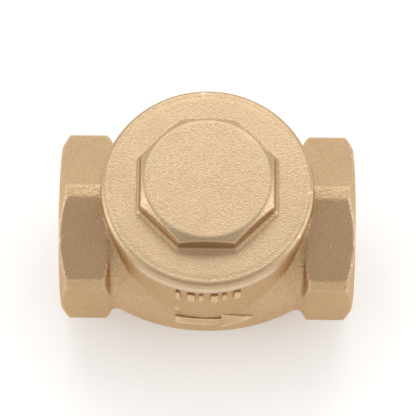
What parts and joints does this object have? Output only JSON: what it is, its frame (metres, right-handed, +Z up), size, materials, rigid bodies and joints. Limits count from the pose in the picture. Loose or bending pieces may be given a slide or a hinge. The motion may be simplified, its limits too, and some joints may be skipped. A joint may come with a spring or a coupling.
{
  "type": "swing check valve",
  "caption": "Cast brass horizontal swing check valve with hexagonal female threaded ends, a screwed octagonal cap and a rubber-faced clapper hung on a hinge pin.",
  "frame": {"origin": "centre of the valve's footprint, on the plane of the two bottom corner flats that it stands on; the flow axis is 17.75 mm above it", "axes": "+X is the flow direction, towards the outlet; +Z is up, towards the cap; +Y is the side with the hinge-pin plug"},
  "size_m": [0.056, 0.0408, 0.042],
  "materials": {
    "cast_brass": "sand-blasted casting and forging skin, matte with a fine grain",
    "turned_brass": "turned, satin",
    "nitrile_rubber": "matte moulded rubber",
    "fibre_gasket": "pressed fibre sheet, matte",
    "copper_washer": "soft annealed copper, satin"
  },
  "bodies": {
    "casting": {"valve_body": "cast_brass", "hinge_pin": "turned_brass", "pin_plug": "turned_brass", "pin_plug_washer": "copper_washer"},
    "gasket_ring": {"cap_gasket": "fibre_gasket"},
    "screwed_cap": {"cap": "cast_brass"},
    "clapper": {"clapper_arm": "cast_brass"},
    "disc_assembly": {"clapper_disc": "turned_brass", "disc_facing": "nitrile_rubber", "facing_washer": "turned_brass", "facing_screw": "turned_brass", "disc_washer": "turned_brass", "disc_nut": "turned_brass", "disc_split_pin": "turned_brass"}
  },
  "joints": [
    {"name": "clapper_swing", "type": "hinge", "parent": "casting", "child": "clapper", "pos_m": [-0.0064, 0, 0.02665], "axis": [0, -1, 0], "range_deg": [0, 78]},
    {"name": "disc_spin", "type": "hinge", "parent": "clapper", "child": "disc_assembly", "pos_m": [-0.0039, 0, 0.01545], "axis": [1, 0, 0], "continuous": true},
    {"name": "cap_lift", "type": "slide", "parent": "casting", "child": "gasket_ring", "axis": [0, 0, 1], "range_m": [0, 0.0054]},
    {"name": "cap_turn", "type": "hinge", "parent": "gasket_ring", "child": "screwed_cap", "pos_m": [0, 0, 0.03409], "axis": [0, 0, 1], "range_deg": [0, 1297]}
  ],
  "couplings": [
    {"joint": "cap_turn", "follows": "cap_lift", "rad_per_m": 4188.8}
  ]
}
